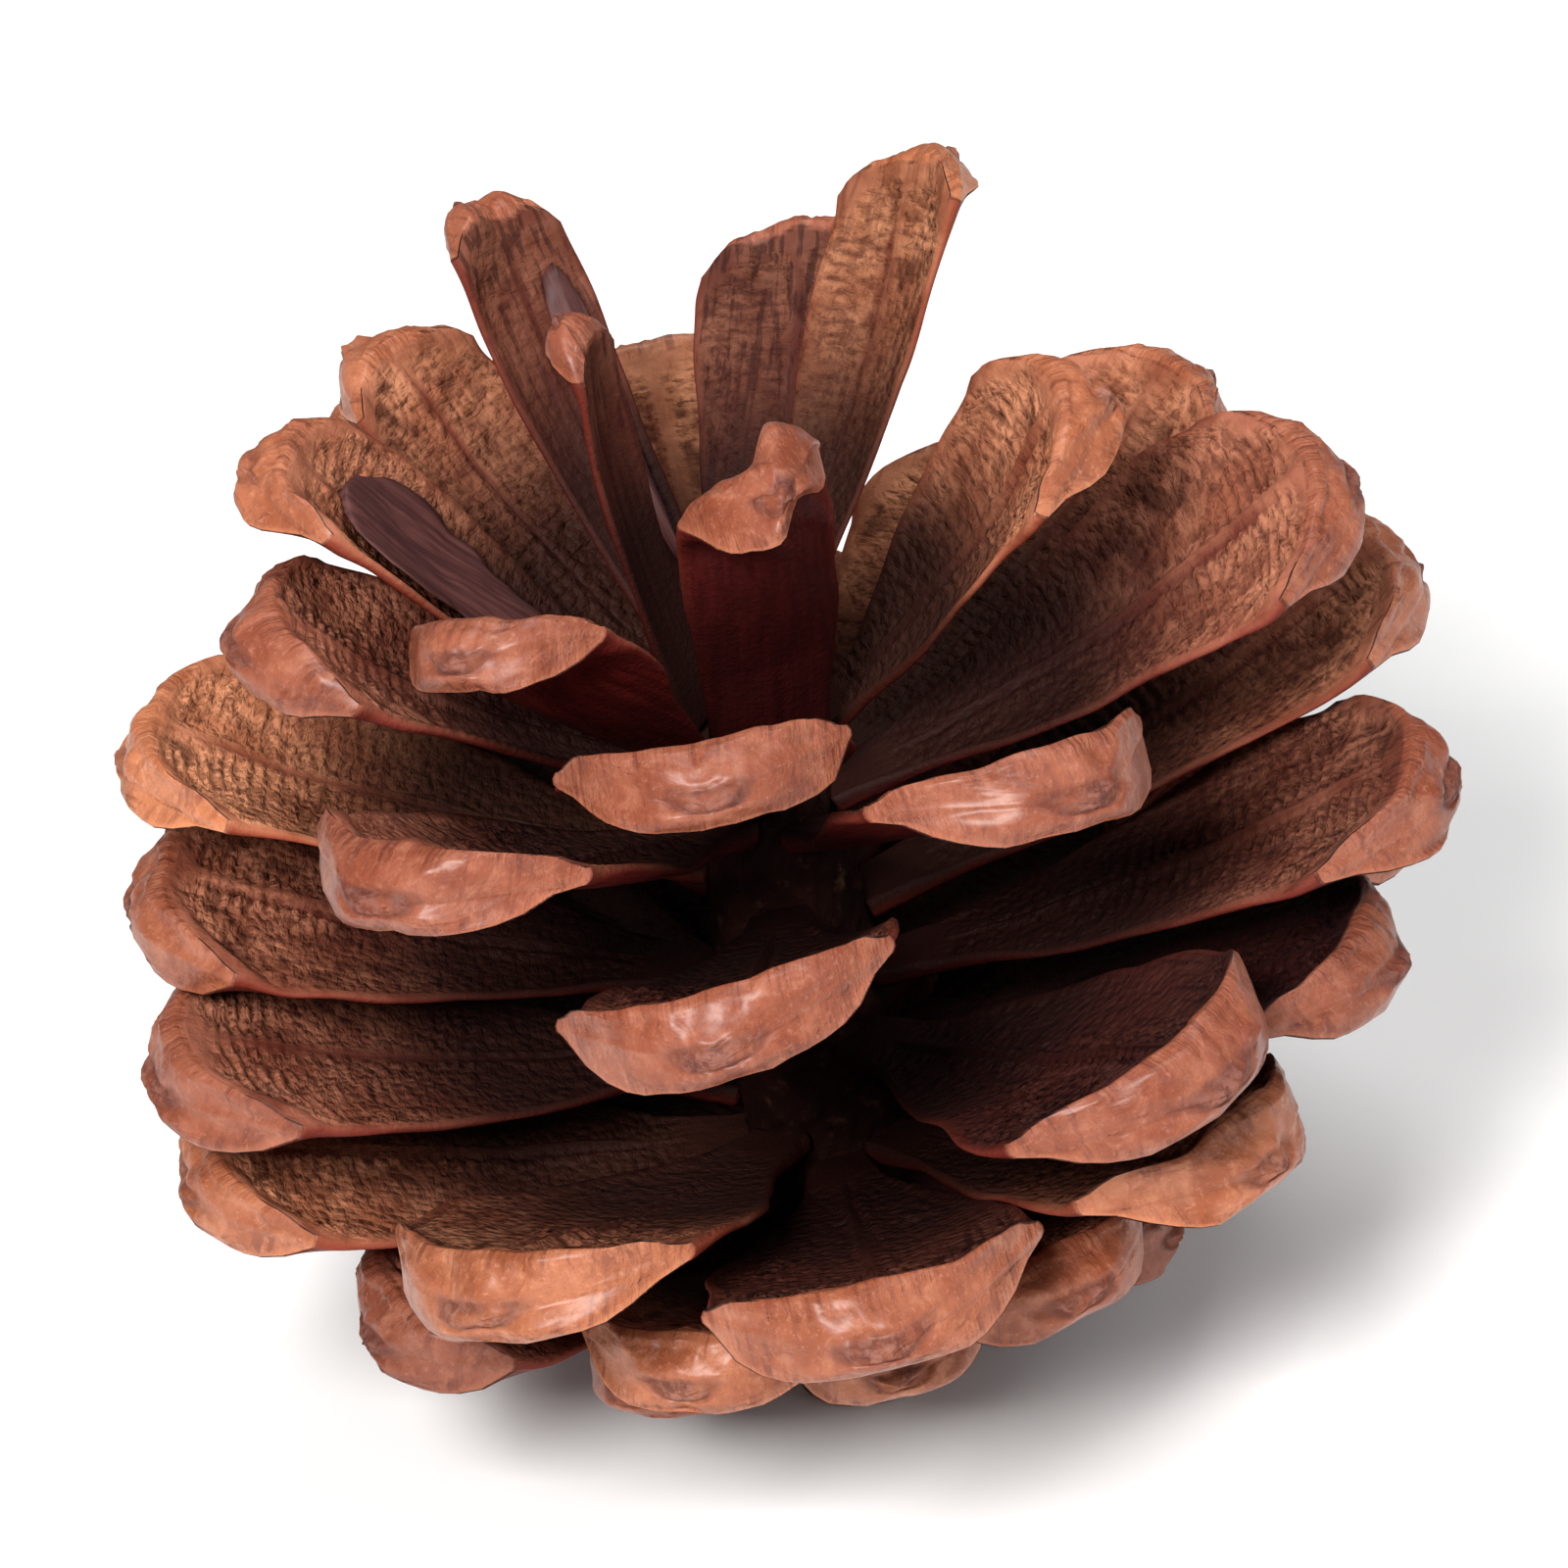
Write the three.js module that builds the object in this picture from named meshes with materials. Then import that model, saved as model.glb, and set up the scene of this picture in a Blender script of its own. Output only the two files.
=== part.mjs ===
// An open pine cone standing on the stub of its stalk: one woody axis, the seed scales set round it, and two
// papery seed wings still lying on their scales.
// Millimetres, +Z up. The origin is the middle of the stub's flat end. Azimuth 0 is -Y and grows towards +X.
import * as THREE from "three";
import { mergeVertices } from "three/addons/utils/BufferGeometryUtils.js";

// ---- driving dimensions ----

const AXIS_TOP = 37.3; // height of the woody axis above the stub's end
const AXIS_RADIUS = 3.9; // at its thickest, among the lower scales
const STUB_RADIUS = 3.4; // flat end of the stalk stub
const ROOT_GAP = 0.35; // clearance between a scale's root and the axis
const ROOT_WIDTH = 0.18; // width of a scale's root, as a share of its widest
const ROOT_THICKNESS = 1.1;
const FULL_WIDTH = 14; // of a full-grown scale
const BLADE_THICKNESS = 0.85; // of a full-sized scale, along its middle
const EDGE_THICKNESS = 0.4; // along a scale's thin side edges
const END_DEPTH = 2; // depth of the swollen end of the narrowest scale
const END_DEPTH_GROWTH = 0.13; // and how much deeper it gets with the scale's width
const END_SLANT = 0.07; // how far the swollen end's lower edge lies back, as a share of the length
const BOW = 0.035; // how far a scale sags along its middle, as a share of its length
const UMBO_RISE = 0.1; // how far the boss on the swollen end stands out from the rim

// Height of a scale's tip (first value) and of its root on the axis (second), from the stalk to the apex.
const ROOT_OF_TIP = [
  [6, 5],
  [11, 7.4],
  [14, 9],
  [19, 12.4],
  [25, 17.2],
  [31, 22.2],
  [37, 27.4],
  [43, 31.6],
  [49, 34.4],
  [57, 36.2],
];

// How far a scale's side edges curl up, as a share of its half width, by the height of its tip.
const CUP_OF_TIP = [
  [13, 0.08],
  [27, 0.1],
  [36, 0.18],
  [45, 0.26],
  [48, 0.42],
];

// Every scale from the stalk to the apex: the azimuth of its tip in degrees, how far out and how high the tip
// reaches, its width, its roll about its own length in degrees and, where the scale leans sideways, how far
// round the axis its root stands from its tip.
const SCALES = [
  [120, 14, 7.8, 9, 0],
  [-95, 14, 8.4, 9, 0],
  [72, 15, 8.8, 9, 0],
  [-178, 17.5, 10.2, 11, 0],
  [-41, 15.6, 10, 9.4, 0],
  [4, 16.2, 11.4, 10, 0],
  [-135, 20, 11.2, 12, 0],
  [-68, 23, 13.8, 13, -8],
  [95, 20, 11.8, 12, 0],
  [-24, 20, 14.6, 12.5, 0],
  [28, 20.2, 14.8, 12, 0],
  [140, 22.5, 12.8, 13, 0],
  [64, 21.4, 16.2, 11, 0],
  [-107, 24.5, 16.6, 12.6, 0],
  [178, 24.5, 15.2, 14, 0],
  [-144, 25.5, 16.2, 14, 0],
  [98, 25.2, 17.8, 12.2, 0],
  [43.5, 26, 20.6, 13.6, 0],
  [2, 26.6, 20.2, 15.3, 3],
  [129, 27, 19.6, 12.8, 0],
  [-82, 28.4, 20.6, 14, -10],
  [-36.5, 26.6, 22.2, 15.8, 6],
  [66, 27.6, 24.8, 13.5, 0],
  [161, 28, 21.4, 13.4, 0],
  [-116, 28, 22.8, 14, 0],
  [-162, 28.2, 22.6, 14, 0],
  [100, 28.6, 24.4, 14, 0],
  [-80, 28.8, 26.8, 14.5, -6],
  [34, 28.2, 27.7, 15, 8],
  [134, 29.2, 26.4, 14, 0],
  [76, 29.9, 30.8, 13.6, 4],
  [178, 29, 28.2, 14, 0],
  [-130, 29, 28.4, 14, 0],
  [-96, 28.2, 31.2, 13.8, -7],
  [104, 31, 33.8, 13.5, 6],
  [-165, 28.6, 33, 13.5, 0],
  [149, 28.6, 33.6, 13.5, 0],
  [-8, 27, 36, 14.8, 8],
  [-126, 26, 36, 13, 0],
  [90, 27.2, 42, 13, 14],
  [-96, 27.4, 38.4, 13.5, -5],
  [31, 24, 41.2, 14, -8],
  [-176, 26.4, 41.2, 12, 0],
  [-38, 26.4, 42.2, 14, 0],
  [121.5, 26.2, 41.6, 11.6, 4],
  [-142, 24.4, 44.8, 11.5, 0],
  [-7.5, 22.3, 45.3, 12.9, 3],
  [-76, 21.3, 46.5, 11.4, -10],
  [84, 16.6, 48.8, 11, 16],
  [-41, 18, 48.6, 10, 14],
  [164, 23.6, 47.4, 8.6, 0, 20],
  [-133, 19, 50.2, 7.6, -4],
  [-93, 19, 51.4, 9.2, -8],
  [146, 22.2, 52, 7.4, -15, 40],
  [12, 10.5, 52, 7, 0],
  [-153, 17.8, 54.6, 6, 6],
  [-114, 5, 54.4, 4.2, 0],
];

// The scales a wing lies on (counting from the stalk), with the wing's middle and half width as shares of the
// scale's half width; and a wing's outline, as its spread at shares of the scale's length.
const WINGS = [
  [53, 0.12, 0.8],
  [56, -0.5, 0.3],
];
const WING_OUTLINE = [
  [0.2, 0],
  [0.34, 0.55],
  [0.52, 0.85],
  [0.7, 1],
  [0.8, 0.8],
  [0.85, 0],
];
const WING_THICKNESS = 0.3;
const WING_GAP = 0.3;

// ---- small helpers ----

const degrees = THREE.MathUtils.degToRad;

// The value at x of a line through [x, y] points.
function along(points, x) {
  const last = points.length - 1;
  if (x <= points[0][0]) return points[0][1];
  if (x >= points[last][0]) return points[last][1];
  const i = points.findIndex(([at]) => at > x);
  const [x0, y0] = points[i - 1];
  const [x1, y1] = points[i];
  return y0 + ((y1 - y0) * (x - x0)) / (x1 - x0);
}

// A closed skin over rings of equal length, with a point at each end.
function skin(start, rings, end) {
  const size = rings[0].length;
  const points = [start, ...rings.flat(), end];
  const at = (ring, i) => 1 + ring * size + (i % size);
  const faces = [];
  for (let i = 0; i < size; i += 1) {
    faces.push(0, at(0, i), at(0, i + 1));
    for (let ring = 0; ring < rings.length - 1; ring += 1) {
      faces.push(at(ring, i), at(ring + 1, i + 1), at(ring, i + 1));
      faces.push(at(ring, i), at(ring + 1, i), at(ring + 1, i + 1));
    }
    faces.push(points.length - 1, at(rings.length - 1, i + 1), at(rings.length - 1, i));
  }
  const geometry = new THREE.BufferGeometry();
  const numbers = points.flatMap((p) => [p.x, p.y, p.z]);
  geometry.setAttribute("position", new THREE.Float32BufferAttribute(numbers, 3));
  geometry.setIndex(faces);
  geometry.computeVertexNormals();
  return geometry;
}

// ---- the woody axis ----

// Radius of the axis at a height: a flared stub, a neck, the stem among the scales, and a blunt top.
const AXIS_PROFILE = [
  [0, STUB_RADIUS],
  [1, STUB_RADIUS + 0.3],
  [2.4, STUB_RADIUS + 0.1],
  [4.4, AXIS_RADIUS],
  [23, AXIS_RADIUS],
  [31, AXIS_RADIUS - 0.8],
  [AXIS_TOP - 1.6, AXIS_RADIUS - 2],
  [AXIS_TOP, 0.7],
];

function axisMesh() {
  const outline = [
    new THREE.Vector2(0, 0),
    ...AXIS_PROFILE.map(([height, radius]) => new THREE.Vector2(radius, height)),
    new THREE.Vector2(0, AXIS_TOP),
  ];
  const turned = new THREE.LatheGeometry(outline, 20);
  turned.deleteAttribute("normal");
  turned.deleteAttribute("uv");
  const geometry = mergeVertices(turned, 1e-4);
  geometry.rotateX(Math.PI / 2);
  geometry.computeVertexNormals();
  return piece(geometry, "cone_axis", 0x33201a, 0.85);
}

// ---- seed scales ----

// Half width along a scale, as a share of its widest: a narrow claw, a spreading blade, a broad end.
const WIDTH_SHARE = [
  [0, 0],
  [0.16, 0.1],
  [0.36, 0.42],
  [0.58, 0.74],
  [0.8, 0.96],
  [1, 1],
];
const STATIONS = [0, 0.16, 0.36, 0.58, 0.8, 1]; // rings from the root to the rim, as shares of the length
const ACROSS = [-1, -0.66, -0.33, 0, 0.33, 0.66, 1]; // a ring's upper side, from edge to edge
const END_ROUNDING = 0.18; // how far the rim falls back at the side edges, as a share of the length

function halfWidth(width, station) {
  return (width / 2) * THREE.MathUtils.lerp(ROOT_WIDTH, 1, along(WIDTH_SHARE, station));
}

// Thickness below the upper face: a thin blade, swelling under the end towards the middle.
function thickness(station, v, width) {
  const size = width / FULL_WIDTH;
  const blade = THREE.MathUtils.lerp(ROOT_THICKNESS, BLADE_THICKNESS * size, Math.min(1, station * 3));
  const thin = THREE.MathUtils.lerp(blade, EDGE_THICKNESS, v * v * Math.min(1, station * 2));
  const swollen = (END_DEPTH + END_DEPTH_GROWTH * width) * (1 - Math.abs(v) ** 2.2);
  const swell = THREE.MathUtils.smoothstep(station, 0.62, 1);
  return Math.max(thin, thin * (1 - swell) + Math.max(swollen, 0.55) * swell);
}

// The point of a scale's inner face at a share of its length and of its half width.
function innerFace({ length, width, cup }, station, v) {
  const half = halfWidth(width, station);
  const x = length * station * (1 - END_ROUNDING * Math.abs(v) ** 2.4);
  const lift = cup * half * v * v * Math.min(1, station * 1.6);
  const sag = -4 * BOW * length * station * (1 - station);
  return new THREE.Vector3(x, v * half, lift + sag);
}

// One scale, from its root at the origin along +X, its inner face up.
function scaleGeometry(shape) {
  const { length, width } = shape;
  const upper = (station, v) => innerFace(shape, station, v);
  const lower = (station, v) => {
    const p = upper(station, v);
    p.x -= station === 1 ? END_SLANT * length * (1 - 0.6 * Math.abs(v)) : 0;
    p.z -= thickness(station, v, width);
    return p;
  };
  const rings = STATIONS.map((station) => [
    ...ACROSS.map((v) => upper(station, v)),
    ...ACROSS.slice(1, -1).reverse().map((v) => lower(station, v)),
  ]);
  const rim = rings[rings.length - 1];
  const depth = thickness(1, 0, width);
  const umbo = new THREE.Vector3(length + UMBO_RISE, 0, -0.6 * depth);
  const face = rim.map((p) => {
    const q = p.clone().lerp(umbo, 0.5);
    q.x += 0.22 * (length - p.x);
    return q;
  });
  return skin(new THREE.Vector3(0, 0, -ROOT_THICKNESS / 2), [...rings, face], umbo);
}

// A papery wing lying along a scale's inner face, its middle at a share of the scale's half width.
function wingGeometry(shape, middle, half) {
  const rings = WING_OUTLINE.slice(1, -1).map(([station, spread]) => {
    const edge = (side, rise) => {
      const p = innerFace(shape, station, middle + side * half * spread);
      p.z += WING_GAP + rise + 0.3 * (1 - Math.abs(side));
      return p;
    };
    const top = [-1, 0, 1].map((side) => edge(side, WING_THICKNESS));
    const under = [1, 0, -1].map((side) => edge(side, 0));
    return [...top, ...under];
  });
  const tip = ([station]) => innerFace(shape, station, middle).add(new THREE.Vector3(0, 0, WING_GAP + 0.4));
  return skin(tip(WING_OUTLINE[0]), rings, tip(WING_OUTLINE[WING_OUTLINE.length - 1]));
}

function piece(geometry, name, color, roughness) {
  const wood = new THREE.MeshStandardMaterial({ color, roughness, metalness: 0 });
  const mesh = new THREE.Mesh(geometry, wood);
  mesh.name = name;
  return mesh;
}

function scaleGroup([azimuth, reach, height, width, roll, swing = 0], index) {
  const root = along(ROOT_OF_TIP, height);
  const start = along(AXIS_PROFILE, root) + ROOT_GAP;
  const from = new THREE.Vector3(start * Math.cos(degrees(swing)), start * Math.sin(degrees(swing)), root);
  const run = new THREE.Vector3(reach, 0, height).sub(from);
  const shape = { length: run.length(), width, cup: along(CUP_OF_TIP, height) };
  const seat = new THREE.Group();
  seat.position.set(from.x, from.y, from.z + ROOT_THICKNESS / 2);
  seat.rotation.set(degrees(roll), -Math.asin(run.z / shape.length), Math.atan2(run.y, run.x), "ZYX");
  seat.add(piece(scaleGeometry(shape), `scale_${String(index + 1).padStart(2, "0")}`, 0x9c5a3c, 0.6));
  WINGS.filter(([scale]) => scale === index + 1).forEach(([scale, middle, half]) => {
    seat.add(piece(wingGeometry(shape, middle, half), `seed_wing_${scale}`, 0x4a2a30, 0.5));
  });
  const turn = new THREE.Group();
  turn.rotation.z = degrees(azimuth - 90);
  turn.add(seat);
  return turn;
}

// ---- the cone ----

const cone = new THREE.Group();
cone.add(axisMesh());
SCALES.forEach((scale, index) => cone.add(scaleGroup(scale, index)));

export default cone;
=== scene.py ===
import math

import bpy
import numpy as np
from mathutils import Matrix, Vector


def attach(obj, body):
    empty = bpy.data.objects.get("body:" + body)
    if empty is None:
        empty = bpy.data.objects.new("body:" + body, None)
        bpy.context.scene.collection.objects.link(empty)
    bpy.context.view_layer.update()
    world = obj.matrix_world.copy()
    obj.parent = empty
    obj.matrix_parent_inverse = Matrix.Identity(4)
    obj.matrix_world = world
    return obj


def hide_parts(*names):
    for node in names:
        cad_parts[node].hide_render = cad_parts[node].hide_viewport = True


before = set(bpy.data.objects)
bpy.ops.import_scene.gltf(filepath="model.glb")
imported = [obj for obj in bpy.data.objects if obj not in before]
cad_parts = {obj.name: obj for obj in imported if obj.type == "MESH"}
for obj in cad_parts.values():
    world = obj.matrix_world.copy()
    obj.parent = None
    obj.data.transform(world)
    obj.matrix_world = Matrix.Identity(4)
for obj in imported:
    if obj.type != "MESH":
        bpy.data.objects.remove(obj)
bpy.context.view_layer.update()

# An open pine cone. Every CAD scale is read back as a seat (its place and directions) and four sizes, and a
# finely modelled scale is built on that seat: a blade with the imprints of two seed wings on its inner face,
# a smooth outer face, and a swollen end with a weathered boss, the umbo. Lengths are in millimetres until a
# mesh is made. On a scale, s runs from 0 at its root to 1 at its tip, and v from -1 at one edge to 1 at the
# other.

MM = 0.001

# How the CAD scales are shaped, which the finer ones follow.
RING_SIZE = 12
ROOT_THICKNESS = 1.1
FULL_WIDTH = 14.0
BLADE_THICKNESS = 0.85
EDGE_THICKNESS = 0.4
END_DEPTH = 2.0
END_DEPTH_GROWTH = 0.13
END_ROUNDING = 0.18
UMBO_RISE = 0.1
UMBO_DROP = 0.6
BOW = 0.035
ROOT_WIDTH = 0.18
WIDTH_SHARE = [(0, 0), (0.16, 0.1), (0.36, 0.42), (0.58, 0.74), (0.8, 0.96), (1, 1)]
WIDEST_SHARE = 1.02

# How finely the scales are meshed. The cap's rings are shares of the way from the umbo out to the rim.
STATION_PITCH = 0.18
UPPER_COLUMNS = 36
LOWER_COLUMNS = 18
CAP_RINGS = [
    0.985, 0.955, 0.915, 0.865, 0.8, 0.73, 0.65, 0.56, 0.47, 0.4, 0.34, 0.29, 0.24, 0.18, 0.12, 0.06, 0,
]
UMBO_RINGS = 0.42

# The blade: how far its root runs on into the axis, its cup, and its uneven outline and edges.
ROOT_REACH = 0.9
CUP_SHARE = 0.75
CUP_ONSET = 1.6
OUTLINE_WAVER = 0.08
OUTLINE_WAVES = 6
EDGE_CURL = 0.4
CURL_WAVES = 3.2
EDGE_BULGE = 0.16

# The end: its outline seen from above, and its depth seen from the front.
ROUNDING_POWER = 2.8
BLUNTNESS = 0.3
TIP_RAGGEDNESS = 0.55
END_FLATTENING = 0.45
HORN_DROOP = 0.55
RIM_WAVER = 0.3
END_FULLNESS = 1.02
LEAST_END_DEPTH = 0.75
SWELL_LENGTH = 7.0
SWELL_WIDTH_SHARE = 0.6
SWELL_POWER = 2.3

# Where along a scale its features begin and end.
WAVER_ZONE = (0.2, 0.6)
CURL_ZONE = (0.25, 0.7)
END_ZONE = (0.6, 1.0)
RIM_ZONE = (0.75, 1.0)
TIP_ZONE = (0.8, 1.0)
SMOOTH_RIM = (0.96, 1.0)
LOBE_SIDE = (-0.15, 0.45)
HORN_SIDE = (0.84, 1.0)

# The inner face: the imprints of two seed wings, ripples across them, pits, a fold between them and grooves.
IMPRINT_DEPTH = 0.22
IMPRINT_MIDDLE = 0.42
IMPRINT_BEND = 0.16
RIPPLE_PITCH = 0.68
RIPPLE_HEIGHT = 0.19
PIT_DEPTH = 0.26
FOLD_DEPTH = 0.2
FOLD_LIP = 0.18
GROOVE_DEPTH = 0.06
INNER_SWELL = 0.3
DEEPEST_SHARE = 0.3

# The outer face: fine streaks, a low keel and a gentle swell.
STREAK_HEIGHT = 0.035
KEEL_HEIGHT = 0.22
OUTER_SWELL = 0.1

# The end's face, from its bevelled rim to the umbo.
CAP_BEVEL_UPPER = 0.22
CAP_BEVEL_LOWER = 0.12
CAP_DOME = 0.3
CAP_LEAN = 0.3
CREST_HEIGHT = 0.12
WRINKLE_HEIGHT = 0.1
LUMP_HEIGHT = 0.45
UMBO_SIZE = 0.27
UMBO_PLACE = 0.76
UMBO_HEIGHT = 0.12
MOAT_DEPTH = 0.14
CRUMB_HEIGHT = 0.12

# Each kind of unevenness takes its noise from a layer of its own, counted on from the scale's seed.
LAYERS = {
    "outline": 0, "fold": 3, "curl": 5, "rim": 6, "tip": 8, "imprint": 9,
    "patches": 11, "sway": 12, "pits": 13, "grooves": 14, "inner swell": 15, "fine sway": 16, "gaps": 17,
    "streaks": 21, "outer swell": 22,
    "wrinkles": 41, "fine wrinkles": 42, "lumps": 43, "umbo": 44, "crumbs": 45,
    "end border": 51,
}


# ---- numbers ----

HASH_X = 374761393
HASH_Y = 668265263
HASH_SEED = 974634777
HASH_MIX = 1274126177
WORD = 0xFFFFFFFF
OCTAVE_SEED = 31
FRACTAL_SPAN = 1.5


def smoothstep(x, low, high):
    t = np.clip((x - low) / (high - low), 0, 1)
    return t * t * (3 - 2 * t)


def bell(x, middle, spread):
    return np.exp(-(((x - middle) / spread) ** 2))


def lattice(ix, iy, seed):
    """A number from -1 to 1 that looks random, for each whole-numbered place."""
    h = (ix * HASH_X + iy * HASH_Y + seed * HASH_SEED) & WORD
    h = ((h ^ (h >> 13)) * HASH_MIX) & WORD
    return ((h ^ (h >> 16)) & WORD) / 2.0**31 - 1


def noise(x, y, seed):
    """Smooth noise from -1 to 1 with cells one unit wide."""
    x, y = np.broadcast_arrays(np.asarray(x, float), np.asarray(y, float))
    ix, iy = np.floor(x).astype(np.int64), np.floor(y).astype(np.int64)
    fx, fy = smoothstep(x - ix, 0, 1), smoothstep(y - iy, 0, 1)
    low = lattice(ix, iy, seed) * (1 - fx) + lattice(ix + 1, iy, seed) * fx
    high = lattice(ix, iy + 1, seed) * (1 - fx) + lattice(ix + 1, iy + 1, seed) * fx
    return low * (1 - fy) + high * fy


def fractal(x, y, seed, octaves=3):
    """Noise with finer and fainter noise on top."""
    total = sum(noise(x * 2**k, y * 2**k, seed + OCTAVE_SEED * k) / 2**k for k in range(octaves))
    return total / FRACTAL_SPAN


def layer(shape, name):
    return shape["seed"] + LAYERS[name]


def smooth_curve(points, x):
    """A curve with no corners through given points."""
    px, py = (np.array(c, float) for c in zip(*points))
    slope = np.gradient(py, px)
    i = np.clip(np.searchsorted(px, x, side="right") - 1, 0, len(px) - 2)
    h = px[i + 1] - px[i]
    t = np.clip((x - px[i]) / h, 0, 1)
    start = py[i] * (1 + 2 * t) * (1 - t) ** 2 + h * slope[i] * t * (1 - t) ** 2
    end = py[i + 1] * t * t * (3 - 2 * t) + h * slope[i + 1] * t * t * (t - 1)
    return start + end


# ---- reading the CAD scales ----

def merged_mesh(node):
    """A CAD node's corners in millimetres, each once, and its triangles."""
    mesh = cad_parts[node].data
    corners = np.array([v.co for v in mesh.vertices], float) / MM
    unique, index = np.unique(np.round(corners, 4), axis=0, return_inverse=True)
    mesh.calc_loop_triangles()
    faces = np.array([t.vertices for t in mesh.loop_triangles])
    return unique, index.reshape(-1)[faces]


def in_order(ring, near):
    """A ring's corners, one after the other round it."""
    order = [min(ring)]
    while len(order) < len(ring):
        order.append(min(i for i in near[order[-1]] & ring if i not in order))
    return order


def rings_from_root(corners, faces):
    """The corners of a scale in rings, from its root point to its umbo."""
    near = [set() for _ in corners]
    for a, b, c in faces:
        near[a] |= {b, c}
        near[b] |= {a, c}
        near[c] |= {a, b}
    poles = sorted(range(len(corners)), key=lambda i: -len(near[i]))[:2]
    root = min(poles, key=lambda i: math.hypot(corners[i][0], corners[i][1]))
    rings, seen = [{root}], {root}
    while len(seen) < len(corners):
        step = set().union(*(near[i] for i in rings[-1])) - seen
        rings.append(step)
        seen |= step
    return [corners[in_order(ring, near)] for ring in rings]


def read_scale(node):
    """A CAD scale's seat, as an origin and three directions, and its sizes."""
    rings = rings_from_root(*merged_mesh(node))
    root, end_ring, umbo = rings[0][0], rings[-3], rings[-1][0]
    opposite = RING_SIZE // 2
    spans = np.linalg.norm(end_ring[:opposite] - end_ring[opposite:], axis=1)
    a = int(np.argmax(spans))
    b, width = a + opposite, spans[a]
    across = (end_ring[b] - end_ring[a]) / width
    depth = END_DEPTH + END_DEPTH_GROWTH * width
    drop = ROOT_THICKNESS / 2 - UMBO_DROP * depth
    run = umbo - root
    run = run - across * run.dot(across)
    reach = math.sqrt(run.dot(run) - drop * drop)
    side = np.cross(run, across)
    if side[2] < 0:
        across, side = -across, -side
    side = side / np.linalg.norm(side)
    run = run / np.linalg.norm(run)
    angle = math.atan2(drop, reach)
    along = run * math.cos(angle) - side * math.sin(angle)
    inner = side * math.cos(angle) + run * math.sin(angle)
    origin = root + inner * ROOT_THICKNESS / 2
    horns = (end_ring[a] + end_ring[b]) / 2
    return {
        "origin": origin,
        "seat": np.array([along, across, inner]),
        "length": reach - UMBO_RISE,
        "width": width,
        "cup": (horns - origin).dot(inner) / (width / 2),
        "depth": depth,
    }


# ---- a scale's shape, in its own directions: x to the tip, y across, z to the inner face ----

def fullness(shape):
    """Narrow scales have less relief than wide ones."""
    return min(1, shape["width"] / FULL_WIDTH)


def half_width(shape, s):
    """Half a scale's width, before its outline wavers."""
    share = np.clip(smooth_curve(WIDTH_SHARE, np.clip(s, 0, 1)), 0, WIDEST_SHARE)
    return shape["width"] / 2 * (shape["root"] + (1 - shape["root"]) * share)


def outline_waver(shape, s, side):
    """How much wider or narrower each edge runs than a straight-sided scale."""
    waves = noise(s * OUTLINE_WAVES, side * 3.7, layer(shape, "outline"))
    return 1 + OUTLINE_WAVER * waves * smoothstep(s, *WAVER_ZONE) * smoothstep(1.03 - s, 0, 0.1)


def edge_curl(shape, s, v):
    """How far the edges turn up or down, and how the rim wavers."""
    waves = noise(s * CURL_WAVES, np.sign(v) * 2.3, layer(shape, "curl"))
    curl = EDGE_CURL * waves * v * v * smoothstep(s, *CURL_ZONE) * (1 - 0.6 * smoothstep(s, 0.85, 1.0))
    return curl + RIM_WAVER * fractal(v * 2.2, s * 1.5, layer(shape, "rim")) * smoothstep(s, *RIM_ZONE)


def inner_face(shape, s, v):
    """Points on the inner face, before its relief."""
    length, half = shape["length"], half_width(shape, s) * outline_waver(shape, s, np.sign(v))
    rounding = min(END_ROUNDING * length, BLUNTNESS * shape["width"])
    ragged = TIP_RAGGEDNESS * noise(v * 1.9, 0.5, layer(shape, "tip")) * smoothstep(s, *END_ZONE)
    x = s * (length - rounding * np.abs(v) ** ROUNDING_POWER + ragged * fullness(shape))
    cup = shape["cup"] * half
    lift = CUP_SHARE * cup * v * v * np.minimum(1, np.maximum(s, 0) * CUP_ONSET)
    lift = lift + END_FLATTENING * cup * (1 - v * v) * smoothstep(s, *END_ZONE)
    lift = lift + shape["lobe"] * smoothstep(v, *LOBE_SIDE) * smoothstep(s, *TIP_ZONE)
    droop = HORN_DROOP * smoothstep(np.abs(v), *HORN_SIDE) * smoothstep(s, *RIM_ZONE) * fullness(shape)
    sag = -4 * BOW * length * s * (1 - s)
    z = lift - droop + sag + edge_curl(shape, s, v)
    return np.stack(np.broadcast_arrays(x, v * half, z), axis=-1)


def thickness(shape, s, v):
    """How far the outer face is behind the inner one: a thin blade, then the swollen end."""
    width_share = shape["width"] / FULL_WIDTH
    blade = ROOT_THICKNESS + (BLADE_THICKNESS * width_share - ROOT_THICKNESS) * np.minimum(1, s * 3)
    thin = blade + (EDGE_THICKNESS - blade) * v * v * np.clip(s * 2, 0, 1)
    belly = np.clip(np.abs(v - shape["lean"]) / (1 + np.abs(shape["lean"])), 0, 1)
    swollen = shape["depth"] * END_FULLNESS * np.sqrt(1 - belly**3) * np.sqrt(1 - np.abs(v) ** 9)
    swell_length = min(SWELL_LENGTH, SWELL_WIDTH_SHARE * shape["width"])
    swell = np.clip(1 - shape["length"] * (1 - s) / swell_length, 0, 1) ** SWELL_POWER
    return np.maximum(thin, thin * (1 - swell) + np.maximum(swollen, LEAST_END_DEPTH) * swell)


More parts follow.
